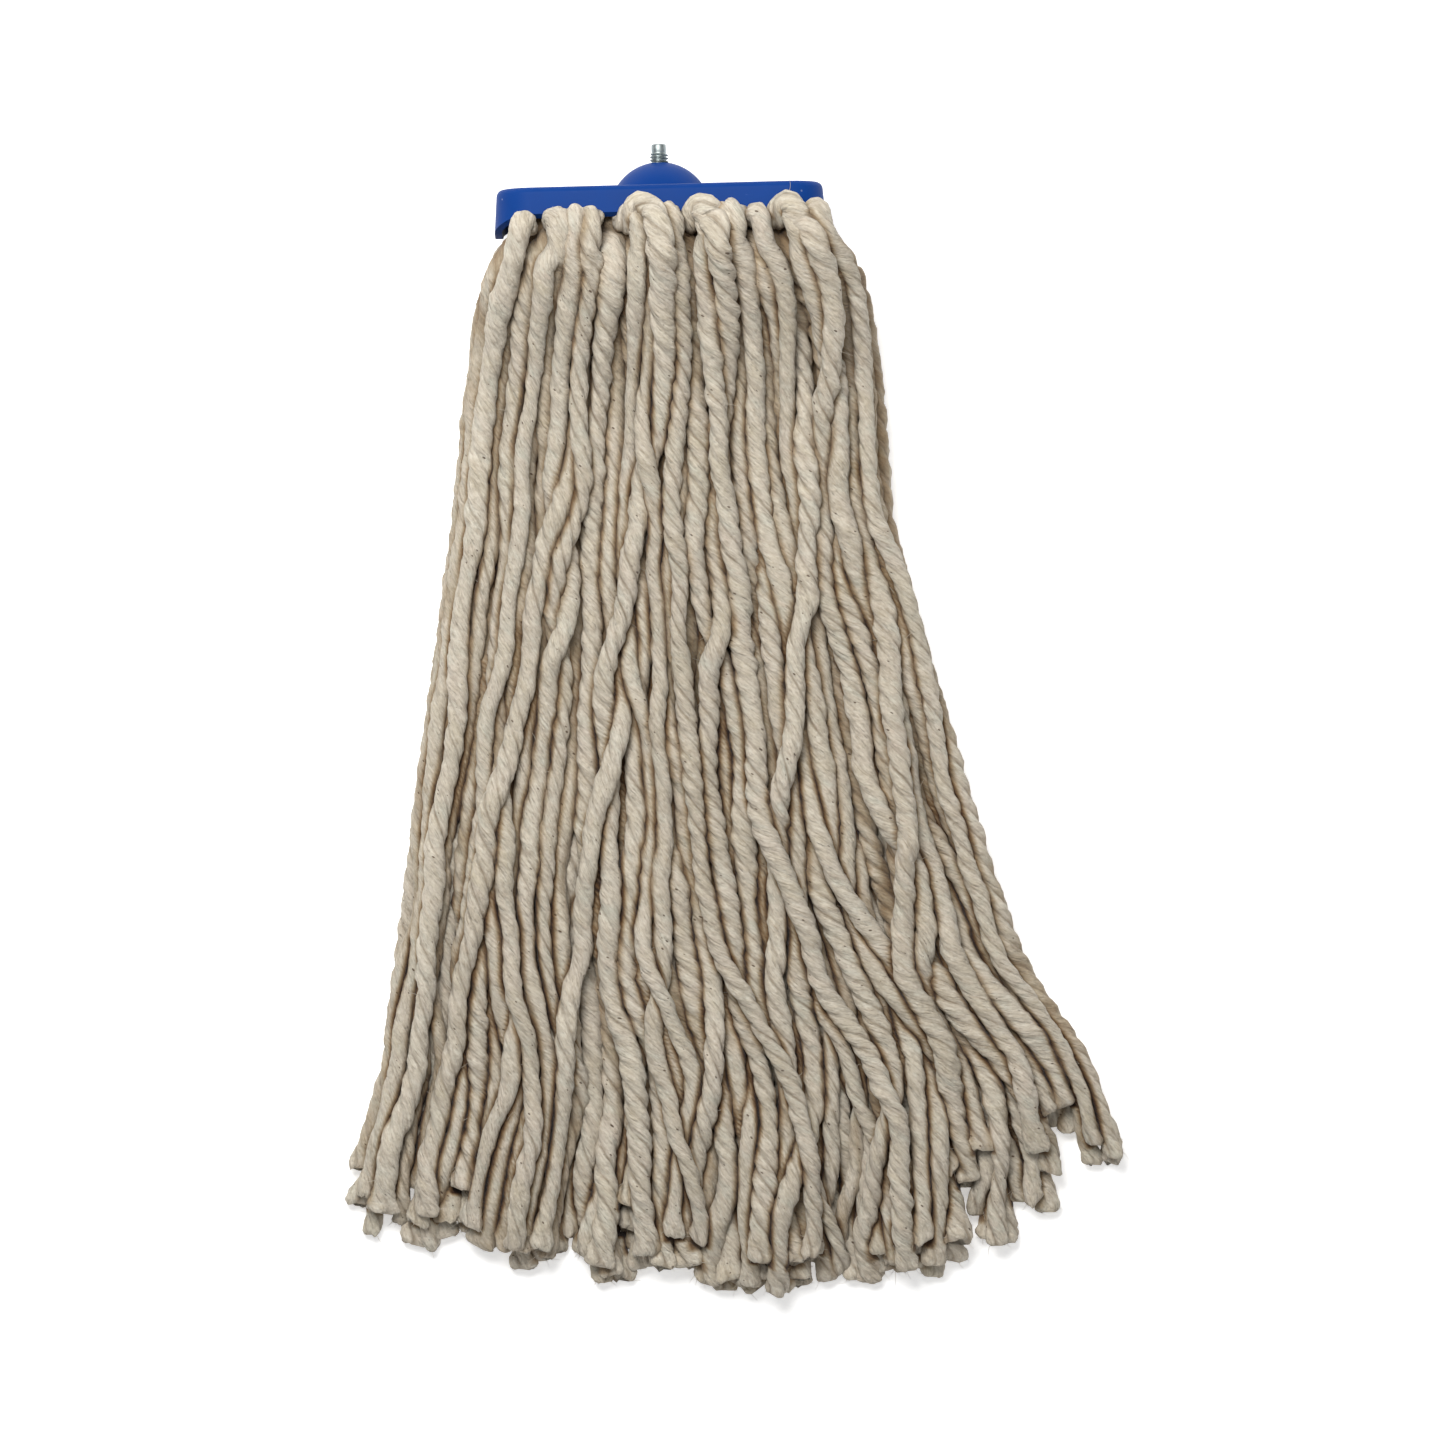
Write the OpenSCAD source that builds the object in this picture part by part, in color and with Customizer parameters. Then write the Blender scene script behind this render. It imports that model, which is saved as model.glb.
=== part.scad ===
// Screw-on string mop head with cut yarn ends, lying on its back skirt.
// Frame: origin on the stud's axis where it leaves the dome, +Y along the stud,
// +X across the cap and +Z up, away from the surface that the head lies on.

/* [Cap] */
// Length of the cap across the head
cap_length = 139; // [120:1:180]
// Depth of the cap from its front wall to its back wall
cap_depth = 57; // [50:1:70]
// Height of the cap's end walls along the stud
cap_height = 19.5; // [17:0.5:24]
// Height of the cap's front and back walls along the stud
wall_height = 11; // [9:0.5:15]
// Thickness of the cap's walls and top
cap_wall = 3; // [2:0.25:4]
// Radius of the cap's corners, seen along the stud
cap_corner = 16; // [14:1:25]
// Radius of the edge between the cap's top and its walls
cap_edge = 3; // [1:0.5:4]
// Outward lean of each wall between the top and the mouth
cap_draft = 1.2; // [0.5:0.1:1.5]
// Radius of the round dome on the cap
dome_radius = 21.5; // [18:0.5:24]
// Distance from the cap's top face to the dome's crown
dome_height = 11; // [10:0.5:14]

/* [Stud] */
// Major diameter of the 5/16-18 stud
stud_diameter = 7.94; // [6.35:0.01:9.53]
// Length of stud thread that stands out of the dome
stud_thread = 4.2; // [3:0.1:30]
// Diameter of the stud's plain tip
tip_diameter = 6.2; // [5:0.1:6.5]
// Length of the stud's plain tip, chamfer included
tip_length = 3.3; // [2:0.1:6]
// Distance across the flats of the hex nut and bolt head
hex_flats = 12.7; // [11:0.1:14]

/* [Clamp] */
// Length of the clamp bar under the yarn
clamp_length = 116; // [90:1:125]
// Width of the clamp bar
clamp_width = 20; // [16:1:22]
// Thickness of the clamp bar without its teeth
clamp_thickness = 5; // [3:0.5:7]
// Thickness of the yarn where the clamp bar squeezes it
yarn_squeeze = 8; // [6:0.5:10]

/* [Yarn] */
// Length of the longest yarn ends, from the cap's mouth
yarn_length = 450; // [440:5:480]
// Number of bundles in each skirt of yarn
bundles = 7; // [7:1:7]
// Gap between neighbouring bundles
bundle_gap = 0.8; // [0.4:0.1:2]

/* [Hidden] */
$fn = 64;

cap_blue = [0.13, 0.29, 0.62];
zinc = [0.72, 0.74, 0.76];
cotton = [0.80, 0.75, 0.66];

top_y = -dome_height;
inner_top_y = top_y - cap_wall;
mouth_y = top_y - cap_height;
floor_z = -cap_depth / 2;
mouth_rise = cap_height - wall_height;
mouth_radius = (pow(cap_depth / 2, 2) + pow(mouth_rise, 2)) / (2 * mouth_rise);
dome_base = sqrt(pow(dome_radius, 2) - pow(dome_radius - dome_height, 2));
fit_gap = 0.3;

// Ridges that bite the yarn: pairs of groups, on the cap's inner top and on the clamp bar
tooth_height = 1.2;
tooth_pitch = 4;
cap_teeth = 5;
cap_teeth_length = 36;
cap_teeth_x = 42;
bar_teeth = 3;
bar_teeth_length = 40;
bar_teeth_x = 30;

// Clamp stack, from the cap's inner top towards the mouth
clamp_y = inner_top_y - yarn_squeeze - tooth_height - fit_gap;
clamp_back_y = clamp_y - clamp_thickness;
lock_thickness = 2;
lock_radius = 6.8;
lock_split = 0.8;
washer_thickness = 1.6;
washer_radius = 9.2;
lock_y = clamp_back_y - washer_thickness;
head_y = lock_y - lock_thickness;
head_thickness = 5.2;

// Captive nut in the dome
nut_thickness = 6.8;
nut_y = -4;
boss_radius = 10;

stud_radius = stud_diameter / 2;
clear_radius = stud_radius + 0.2;
relief = 0.5;
chamfer = 0.6;

// Outline of the yarn pile against distance from the mouth, seen from above
left_edge = [[0, -66], [8, -71], [35, -80], [90, -88], [120, -91], [160, -98],
             [210, -106], [280, -117], [340, -126], [365, -130], [392, -141], [455, -153]];
right_edge = [[0, 66], [8, 79], [25, 86], [50, 90], [120, 93], [155, 102], [210, 117],
              [240, 123], [305, 143], [335, 158], [365, 176], [392, 179], [455, 184]];
// How much shorter than the longest the yarn ends are, across the pile
cut_back = [[-152, 40], [-88, 18], [-46, 9], [38, 0], [77, 2], [109, 8], [133, 24],
            [158, 41], [184, 50]];
// Height of the pile's crown, and of its underside, against the same distance
crown = [[0, 27], [8, 35], [22, 35], [38, 28], [60, 21], [110, 15.5], [180, 10.5],
         [250, 7.5], [330, 4], [400, 0], [455, -6]];
// How far the crown drops at the pile's sides, as a share of its height
droop = 0.42;
underside = [[0, -27], [8, floor_z], [455, floor_z]];
// Half of the room left between the skirts for the bolt's head
parting = [[0, clamp_width / 2 + 1], [12, clamp_width / 2 + 1], [35, 0.4], [455, 0.4]];

first_ring = 0.6;
last_shared_ring = 392;
rings = 14;
sides = 16;
squareness = 0.62;

function longest(x) = yarn_length - lookup(x, cut_back);
function edge_x(share, d) = lookup(d, left_edge) * (1 - share) + lookup(d, right_edge) * share;
function side_drop(share, d) = droop * pow(abs(2 * share - 1), 3) * min(1, d / 60);
function crown_z(share, d) = floor_z + (lookup(d, crown) - floor_z) * (1 - side_drop(share, d));
function middle_z(share, d) = (crown_z(share, d) + lookup(d, underside)) / 2;
function power(v, p) = sign(v) * pow(abs(v), p);

// One ring of a bundle: a rounded rectangle between x0 and x1, z0 and z1, across the yarn
function ring(y, x0, x1, z0, z1) = [
    for (k = [0:sides - 1]) let(a = 360 * (k + 0.5) / sides)
        [(x0 + x1) / 2 + (x1 - x0) / 2 * power(cos(a), squareness),
         y,
         (z0 + z1) / 2 + (z1 - z0) / 2 * power(sin(a), squareness)]
];

// A bundle of yarn ends lofted from the mouth to its cut ends
module bundle(i, front) {
    share0 = (i - 1) / bundles;
    share1 = i / bundles;
    share = (share0 + share1) / 2;
    far = longest(edge_x(share, yarn_length));
    points = [
        for (r = [0:rings - 1])
            let(
                t = r / (rings - 2),
                d = t > 1 ? far : first_ring + (last_shared_ring - first_ring) * pow(t, 1.35),
                x0 = edge_x(share0, d) + bundle_gap / 2,
                x1 = edge_x(share1, d) - bundle_gap / 2,
                middle = middle_z(share, d),
                part = lookup(d, parting),
                z0 = front ? middle + part : lookup(d, underside),
                z1 = front ? crown_z(share, d) : middle - part
            )
            each ring(mouth_y - d, x0, x1, z0, z1)
    ];
    walls = [
        for (r = [0:rings - 2], k = [0:sides - 1])
            let(
                a = r * sides + k,
                b = r * sides + (k + 1) % sides
            )
            each [[a, a + sides, b], [b, a + sides, b + sides]]
    ];
    last = (rings - 1) * sides;
    ends = [
        [for (k = [0:sides - 1]) k],
        [for (k = [sides - 1:-1:0]) last + k]
    ];
    color(cotton) polyhedron(points = points, faces = concat(walls, ends), convexity = 4);
}

// Turns a shape drawn along Z so that it lies along the stud
module along_stud(y) {
    translate([0, y, 0]) rotate([-90, 0, 0]) children();
}

// Rounded rectangle, length along X
module plate_outline(length, depth, corner) {
    square([length - 2 * corner, depth], center = true);
    square([length, depth - 2 * corner], center = true);
    for (x = [-1, 1], y = [-1, 1])
        translate([x * (length / 2 - corner), y * (depth / 2 - corner)]) circle(corner);
}

// Half of a wall's section: straight lean outside, rounded edge at the top
function half_section(half, height, lean, edge) = [
    [half, 0],
    for (a = [0:18:90])
        [half - lean - edge * (1 - cos(a)), height - edge + edge * sin(a)]
];

module whole_section(half, height, lean, edge) {
    side = half_section(half, height, lean, edge);
    last = len(side) - 1;
    polygon(concat(side, [for (k = [last:-1:0]) [-side[k][0], side[k][1]]]));
}

// Shallow leaning box with round corners, standing on the XY plane
module leaning_box(length, depth, corner, height, lean, edge) {
    rotate([90, 0, 90]) linear_extrude(length - 2 * corner, center = true)
        whole_section(depth / 2, height, lean, edge);
    rotate([90, 0, 0]) linear_extrude(depth - 2 * corner, center = true)
        whole_section(length / 2, height, lean, edge);
    for (x = [-1, 1], y = [-1, 1])
        translate([x * (length / 2 - corner), y * (depth / 2 - corner), 0])
            rotate_extrude($fn = 96)
                polygon(concat([[0, 0]], half_section(corner, height, lean, edge), [[0, height]]));
}

// Draughted outer form with a rounded top edge
module cap_outside() {
    along_stud(mouth_y)
        leaning_box(cap_length, cap_depth, cap_corner, cap_height, cap_draft, cap_edge);
}

module cap_inside() {
    drop = 1;
    along_stud(mouth_y - drop)
        leaning_box(cap_length - 2 * cap_wall, cap_depth - 2 * cap_wall, cap_corner - cap_wall,
                    cap_height - cap_wall + drop, cap_draft, 0.5);
}

// Rounds the mouth's edge, so that the front and back walls are shorter than the end walls
module mouth_arch() {
    translate([0, mouth_y + mouth_radius, 0]) rotate([0, 90, 0])
        cylinder(r = mouth_radius, h = cap_length + 2, center = true, $fn = 192);
}

// Long triangular ridges that bite the yarn, standing up along +Z
module teeth(length, count) {
    for (k = [0:count - 1])
        translate([-length / 2, (k - (count - 1) / 2) * tooth_pitch, 0])
            rotate([90, 0, 90]) linear_extrude(length)
                polygon([[-1.2, -0.2], [1.2, -0.2], [0, tooth_height]]);
}

// A ball's upper part, centred so that its crown is at the origin, cut off at depth
module ball_top(radius, inset, depth) {
    intersection() {
        translate([0, 0, -inset - radius]) sphere(radius, $fn = 96);
        translate([0, 0, -depth]) cylinder(r = radius + 5, h = depth + 5);
    }
}

// Dome with a boss around the captive nut, down to the cap's inner top face
module dome() {
    depth = -inner_top_y;
    pocket = (hex_flats + 0.3) / cos(30);
    along_stud(0) difference() {
        ball_top(dome_radius, 0, depth);
        difference() {
            ball_top(dome_radius - cap_wall, cap_wall, depth + 1);
            translate([0, 0, -depth - 2]) cylinder(r = boss_radius, h = depth + 4);
        }
        translate([0, 0, -depth - 1]) cylinder(r = clear_radius, h = depth + 4);
        translate([0, 0, -depth - 1]) cylinder(d = pocket, h = nut_y + 0.1 + depth + 1, $fn = 6);
    }
}

module cap() {
    color(cap_blue) {
        intersection() {
            difference() {
                cap_outside();
                cap_inside();
                along_stud(mouth_y) cylinder(r = dome_base - 1, h = cap_height + 2);
            }
            mouth_arch();
        }
        dome();
        for (x = [-1, 1])
            translate([x * cap_teeth_x, inner_top_y, 0]) rotate([90, 0, 0])
                teeth(cap_teeth_length, cap_teeth);
    }
}

// Hex-head bolt whose free end is the mop head's mounting stud
module bolt() {
    shank = -relief - (head_y - 0.01);
    color(zinc) {
        along_stud(head_y - head_thickness)
            cylinder(d = hex_flats / cos(30), h = head_thickness, $fn = 6);
        along_stud(head_y - 0.01) cylinder(r = stud_radius, h = shank);
        along_stud(-relief - 0.01) cylinder(r = tip_diameter / 2, h = relief + 0.02);
        along_stud(0) cylinder(r = stud_radius, h = stud_thread - chamfer);
        along_stud(stud_thread - chamfer - 0.01)
            cylinder(r1 = stud_radius, r2 = tip_diameter / 2, h = chamfer + 0.01);
        along_stud(stud_thread - 0.01)
            cylinder(r = tip_diameter / 2, h = tip_length - chamfer + 0.01);
        along_stud(stud_thread + tip_length - chamfer - 0.01)
            cylinder(r1 = tip_diameter / 2, r2 = tip_diameter / 2 - chamfer, h = chamfer + 0.01);
    }
}

module nut() {
    color(zinc) along_stud(nut_y - nut_thickness) difference() {
        cylinder(d = hex_flats / cos(30), h = nut_thickness, $fn = 6);
        translate([0, 0, -1]) cylinder(r = stud_radius + 0.02, h = nut_thickness + 2);
    }
}

module washer() {
    color(zinc) along_stud(lock_y) difference() {
        cylinder(r = washer_radius, h = washer_thickness);
        translate([0, 0, -1]) cylinder(r = clear_radius, h = washer_thickness + 2);
    }
}

// Spring washer with its split
module lock_washer() {
    color(zinc) along_stud(head_y) difference() {
        cylinder(r = lock_radius, h = lock_thickness);
        translate([0, 0, -1]) cylinder(r = clear_radius, h = lock_thickness + 2);
        rotate([18, 0, 0]) translate([3, -lock_split / 2, -3]) cube([6, lock_split, 10]);
    }
}

module clamp_bar() {
    color(cap_blue) {
        difference() {
            along_stud(clamp_back_y) linear_extrude(clamp_thickness)
                plate_outline(clamp_length, clamp_width, clamp_width / 2 - 1);
            along_stud(clamp_back_y - 1) cylinder(r = clear_radius, h = clamp_thickness + 4);
        }
        for (x = [-1, 1])
            translate([x * bar_teeth_x, clamp_y, 0]) rotate([-90, 0, 0])
                teeth(bar_teeth_length, bar_teeth);
    }
}

// The yarns' middles, folded over the clamp bar inside the cap
module yarn_fold() {
    length = cap_length - 2 * cap_wall - 2 * cap_draft - 2;
    depth = cap_depth - 2 * cap_wall - 2 * cap_draft - 1;
    leg = clamp_y + tooth_height + 0.3 - (mouth_y - 0.2);
    color(cotton) difference() {
        along_stud(mouth_y - 0.2)
            linear_extrude(inner_top_y - tooth_height - fit_gap - mouth_y + 0.2)
                plate_outline(length, depth, cap_corner - cap_wall - 2);
        translate([-length / 2, mouth_y - 2, -clamp_width / 2 - fit_gap])
            cube([length, leg + 1.8, clamp_width + 2 * fit_gap]);
        along_stud(mouth_y - 1) cylinder(r = clear_radius + 0.3, h = 40);
    }
}

cap();
bolt();
nut();
washer();
lock_washer();
clamp_bar();
yarn_fold();
for (i = [1:bundles]) {
    bundle(i, true);
    bundle(i, false);
}
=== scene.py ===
import math

import bpy
import numpy as np
from mathutils import Matrix, Vector


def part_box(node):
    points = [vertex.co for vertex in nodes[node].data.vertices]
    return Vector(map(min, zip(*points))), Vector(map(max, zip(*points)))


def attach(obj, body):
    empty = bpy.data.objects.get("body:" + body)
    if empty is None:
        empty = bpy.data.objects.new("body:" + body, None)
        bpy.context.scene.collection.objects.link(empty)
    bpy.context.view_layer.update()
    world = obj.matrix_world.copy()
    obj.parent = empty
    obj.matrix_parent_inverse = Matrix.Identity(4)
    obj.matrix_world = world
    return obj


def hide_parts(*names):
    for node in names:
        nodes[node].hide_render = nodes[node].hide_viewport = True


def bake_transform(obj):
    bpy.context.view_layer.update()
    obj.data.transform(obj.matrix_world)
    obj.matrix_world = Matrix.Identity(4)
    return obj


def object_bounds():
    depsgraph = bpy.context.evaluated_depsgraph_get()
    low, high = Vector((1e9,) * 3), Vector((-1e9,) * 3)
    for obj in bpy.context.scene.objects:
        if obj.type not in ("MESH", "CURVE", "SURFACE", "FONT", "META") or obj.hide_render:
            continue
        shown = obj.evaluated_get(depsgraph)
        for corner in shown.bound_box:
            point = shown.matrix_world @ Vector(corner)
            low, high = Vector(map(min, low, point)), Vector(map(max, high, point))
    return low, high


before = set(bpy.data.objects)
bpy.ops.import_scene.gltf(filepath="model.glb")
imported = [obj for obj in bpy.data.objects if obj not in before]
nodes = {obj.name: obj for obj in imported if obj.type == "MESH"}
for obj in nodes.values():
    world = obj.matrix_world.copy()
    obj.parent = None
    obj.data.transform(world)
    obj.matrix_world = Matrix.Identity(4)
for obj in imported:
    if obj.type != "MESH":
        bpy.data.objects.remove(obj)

cad_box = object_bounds()
MM = 0.001
BUNDLES = 7
SKIRTS = ("back", "front")

# ---------------------------------------------------------------- places, from the frame


def vertices_of(node):
    return np.array([v.co for v in nodes[node].data.vertices], float)


def across(node, column, side):
    """A function of y that follows one side of a bundle's solid."""
    co = vertices_of(node)
    keys = np.round(co[:, 1], 4)
    stations = np.unique(keys)
    values = [(co[keys == y, column] * side).max() * side for y in stations]
    return lambda y: np.interp(y, stations, values)


cap_low, cap_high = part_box("cap")
bolt_low, bolt_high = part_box("bolt")
clamp_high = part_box("clamp_bar")[1]
fold_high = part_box("yarn_fold")[1]
mouth_y = cap_low.y
wall_z = cap_high.z
cap_points = vertices_of("cap")
rim_y = cap_points[cap_points[:, 2] > wall_z - 0.5 * MM, 1].min()
CAP_WALL = 3.0 * MM
highest_z = cad_box[1][2] + 10 * MM  # no yarn stands higher than this

left_edge = across("front_yarn_1", 0, -1)
right_edge = across(f"front_yarn_{BUNDLES}", 0, 1)
crown = across("front_yarn_4", 2, 1)
floor_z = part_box("back_yarn_4")[0].z
far_share = [(i - 0.5) / BUNDLES for i in range(1, BUNDLES + 1)]
far_y = [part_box(f"front_yarn_{i}")[0].y for i in range(1, BUNDLES + 1)]

# ---------------------------------------------------------------- camera and light

# The camera looks straight down at the lying head, and is turned a little about its view.
VIEW_WIDTH = 0.607
VIEW_DISTANCE = 3.0
VIEW_TURN = math.radians(-1.5)
AIM = Vector((0.0205, -0.2360, 0.0))


def add_camera():
    data = bpy.data.cameras.new("camera")
    data.sensor_width = 36.0
    data.lens = data.sensor_width * VIEW_DISTANCE / VIEW_WIDTH
    data.clip_end = 20.0
    cam = bpy.data.objects.new("camera", data)
    bpy.context.scene.collection.objects.link(cam)
    place = Matrix.Translation(AIM + Vector((0, 0, VIEW_DISTANCE)))
    cam.matrix_world = place @ Matrix.Rotation(VIEW_TURN, 4, "Z")
    bpy.context.scene.camera = cam


def add_area(name, place, size, power, colour=(1.0, 1.0, 1.0)):
    data = bpy.data.lights.new(name, "AREA")
    data.shape = "SQUARE"
    data.size = size
    data.energy = power
    data.color = colour
    lamp = bpy.data.objects.new(name, data)
    bpy.context.scene.collection.objects.link(lamp)
    lamp.location = place
    aim = Vector((AIM.x, AIM.y, 0.0)) - Vector(place)
    lamp.rotation_euler = aim.to_track_quat("-Z", "Y").to_euler()


def add_light():
    world = bpy.data.worlds.new("studio")
    bpy.context.scene.world = world
    world.use_nodes = True
    background = world.node_tree.nodes["Background"]
    background.inputs["Color"].default_value = (1.0, 1.0, 1.0, 1.0)
    background.inputs["Strength"].default_value = 0.32
    add_area("key", (-0.25, 0.42, 1.25), 0.7, 22.8, (1.0, 0.99, 0.97))
    add_area("fill", (0.9, -0.5, 1.7), 1.4, 3.2, (0.98, 0.99, 1.0))


add_camera()
add_light()
bpy.context.scene.view_settings.view_transform = "Standard"

# ---------------------------------------------------------------- yarn: where each strand lies

rng = np.random.default_rng(24)
# Strands in each row, from the outer to the inner, of a bundle and of the next one.
ROWS = ((2, 3, 4), (3, 3, 3))
STRAND_R = 4.15 * MM
THICKNESS = (0.84, 1.17)        # the range of the strands' radii, as shares of STRAND_R
SHORT_ONES = 0.15               # the share of strands whose ends are cut 6 to 20 mm short
RAGGED = 5.5                    # how unevenly the ends are cut, in millimetres
STEP = 6.0 * MM                 # spacing of a strand's points while it settles
SETTLE = 300
ROW_LEVEL = (0.92, 0.74, 0.58)  # height of each row in the pile, before it settles
INNER_Z = (22.0 * MM, 17.2 * MM, 12.6 * MM)  # height of each row inside the mouth
SQUEEZED = 0.6                  # a strand's thickness where the clamp bar holds it
FLUFFED = 0.25                  # how much thicker a strand is just outside the mouth
HELD = 16.0 * MM                # the length of each strand that the mouth holds in place
HELD_OVER_WALL = 36.0 * MM      # the same for the outer front strands, which cross the wall
LAID_HEIGHT = 8.0 * MM          # how far the strands laid over the others are lifted
MOUTH = (-60.0 * MM, 66.0 * MM)  # where the strands leave the cap, from its left end to its right

# Front strands laid over the others: where each starts across the mouth, how far it drifts
# across the pile, and the part of its length in which it does so, as shares.
LAID_OVER = (
    (0.27, -0.17, 0.02, 0.40), (0.81, -0.27, 0.10, 0.52), (0.36, -0.12, 0.25, 0.90),
    (0.62, 0.12, 0.30, 1.00), (0.70, -0.16, 0.45, 1.00), (0.12, 0.10, 0.40, 1.00),
    (0.94, -0.13, 0.25, 0.90), (0.48, 0.10, 0.50, 1.00),
)

# How much shorter the ends are than the CAD's, in millimetres, at shares of the pile's width.
END_SHARE = (0, 0.03, 0.055, 0.08, 0.16, 0.30, 0.46, 0.55, 0.60, 0.66, 0.71, 0.76, 0.80,
             0.825, 0.84, 0.87, 0.895, 0.92, 0.95, 1)
END_SHIFT = (8, 9, 19, 2, 13, 4, 14, 1, 16, 6, 13, 4, 33, 34, 0, -2, 2, 42, 38, 8)
FLARE = 6.0 * MM                # how far the right-hand ends spread beyond the CAD's outline

# Front strands that loop sideways over the cap's front wall: where each starts across the
# mouth, how far it goes sideways, both in millimetres, and how high it climbs on the wall.
LOOPS = ((-23, 21, 2.5), (10, 13, 2.1), (45, 11, 2.2), (33, -7, 1.6), (-46, 7, 1.5))


def smooth_noise(t, wavelength, count):
    """Smooth random curves over t, one row for each of count strands, of about unit size."""
    total = np.zeros((count, len(t)))
    for octave in (1.0, 0.61, 0.37):
        phase = rng.uniform(0, 2 * np.pi, (count, 1))
        stretch = rng.uniform(0.8, 1.25, (count, 1))
        total += octave * np.sin(2 * np.pi * t[None, :] / (wavelength * octave * stretch) + phase)
    return total / 1.1


def smooth_step(value, low, high):
    t = np.clip((value - low) / (high - low), 0, 1)
    return t * t * (3 - 2 * t)


def sides(y):
    """The pile's left and right edges at y."""
    return left_edge(y), right_edge(y) + FLARE * smooth_step(mouth_y - y, 325 * MM, 370 * MM)


class Strands:
    """Every strand's skirt, bundle and row, its place across the pile, its size and its cut."""

    def __init__(self):
        table = np.array([
            (skirt, bundle, row, (bundle + (k + 0.5) / many) / BUNDLES)
            for skirt in range(2) for bundle in range(BUNDLES)
            for row, many in enumerate(ROWS[bundle % 2]) for k in range(many)
        ])
        self.skirt = table[:, 0].astype(int)
        self.bundle = table[:, 1].astype(int)
        self.row = table[:, 2].astype(int)
        self.count = len(table)
        self.share = np.clip(table[:, 3] + rng.uniform(-0.008, 0.008, self.count), 0.005, 0.995)
        self.mouth_x = MOUTH[0] + self.share * (MOUTH[1] - MOUTH[0])
        self.radius = STRAND_R * rng.uniform(*THICKNESS, self.count)
        short = np.where(rng.random(self.count) < SHORT_ONES, rng.uniform(6, 20, self.count), 0)
        self.short = (rng.normal(0, RAGGED, self.count) + short) * MM
        self.points = int(round((mouth_y - min(far_y)) / STEP)) + 5


def way_out(row, front, climb):
    """A strand's first points in Y and Z, from the clamp to where it lies on the pile."""
    if row == 0 and front:
        lift = climb * MM
        return np.array([
            (rim_y + 3.0 * MM, INNER_Z[0]),
            (rim_y - 2.4 * MM, INNER_Z[0] + 0.6 * MM),
            (rim_y - 5.5 * MM, wall_z - 2.4 * MM),
            (rim_y - 5.9 * MM + lift, wall_z + 2.0 * MM),
            (rim_y - 4.4 * MM + 3.3 * lift, wall_z + 4.8 * MM + 0.6 * lift),
            (rim_y - 8.4 * MM + 3.8 * lift, wall_z + 5.7 * MM + 1.6 * lift),
            (rim_y - 16.0 * MM + 3.0 * lift, wall_z + 5.4 * MM + 1.3 * lift),
        ])
    start = INNER_Z[row]
    spread = (0, 9.0, 4.0)[row] * MM if front else (0.5, -0.5, -1.0)[row] * MM
    reach = np.array([0, 8, 16, 26]) * MM
    return np.stack([rim_y + 3.0 * MM - reach, start + spread * (reach / reach[-1]) ** 2], 1)


def even_points(path, count):
    """The same path with count points at even spacing."""
    size = np.linalg.norm(np.diff(path, axis=0), axis=1)
    s = np.concatenate([[0], np.cumsum(size)])
    even = np.linspace(0, s[-1], count)
    return np.stack([np.interp(even, s, path[:, axis]) for axis in range(3)], 1), s[-1]


class Stray:
    """How each strand strays from a straight way: at random, and as listed for a few of them."""

    def __init__(self, st, t):
        self.drift = smooth_noise(t, 0.9, st.count) * 0.028 + rng.normal(0, 0.024, (st.count, 1))
        self.drift *= np.clip(6 * np.minimum(st.share, 1 - st.share), 0.2, 1)[:, None]
        self.wave = (smooth_noise(t, 0.26, st.count) * 1.3 * MM
                     + smooth_noise(t, 0.11, st.count) * 0.5 * MM)
        self.bob = smooth_noise(t, 0.3, st.count) * 1.2 * MM
        self.climb = (rng.uniform(-0.3, 0.3, st.count) + 0.6
                      + 0.85 * smooth_step(st.share, 0.03, 0.10))
        self.sideways = rng.normal(0, 1.3, st.count) * MM
        self.lift = np.zeros(st.count)
        self.lay_over(st, t)
        self.loop_over(st)

    def lay_over(self, st, t):
        """Lifts some front strands and moves them across the others."""
        upper = np.flatnonzero((st.skirt == 1) & (st.row < 2))
        for start, move, begin, end in LAID_OVER:
            k = upper[np.argmin(np.abs(st.share[upper] - start))]
            self.drift[k] = move * smooth_step(t, begin, end) + 0.2 * self.drift[k]
            self.lift[k] = LAID_HEIGHT

    def loop_over(self, st):
        """Sends some outer strands sideways over the cap's front wall."""
        outer = np.flatnonzero((st.skirt == 1) & (st.row == 0))
        for start, move, height in LOOPS:
            k = outer[np.argmin(np.abs(st.mouth_x[outer] - start * MM))]
            self.climb[k] = height
            self.sideways[k] = move * MM


def lying_part(st, stray, k, t, begin_y):
    """Strand k's points on the pile, from begin_y to its cut end."""
    share = 1.012 * st.share[k] + stray.drift[k] * np.clip(1.3 * t, 0, 1)
    share = np.clip(share, 0.0, 1.0)
    end_y = np.interp(share[-1], far_share, far_y) + st.short[k]
    end_y += (np.interp(share[-1], END_SHARE, END_SHIFT) - 4.5 * (2 * share[-1] - 1) ** 2) * MM
    y = begin_y + (end_y - begin_y) * t
    fade = np.clip(t * 6, 0, 1)
    inset = st.radius[k]
    low, high = sides(y)
    x = low + inset + share * (high - low - 2 * inset) + stray.wave[k] * fade
    x = x + stray.sideways[k] * (1 - smooth_step(t, 0.05, 0.6))
    level = ROW_LEVEL[st.row[k]]
    level = level if st.skirt[k] == 1 else 1 - level
    z = floor_z + level * (crown(y) - floor_z) + (stray.lift[k] + stray.bob[k]) * fade
    return np.stack([x, y, z], 1)


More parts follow.
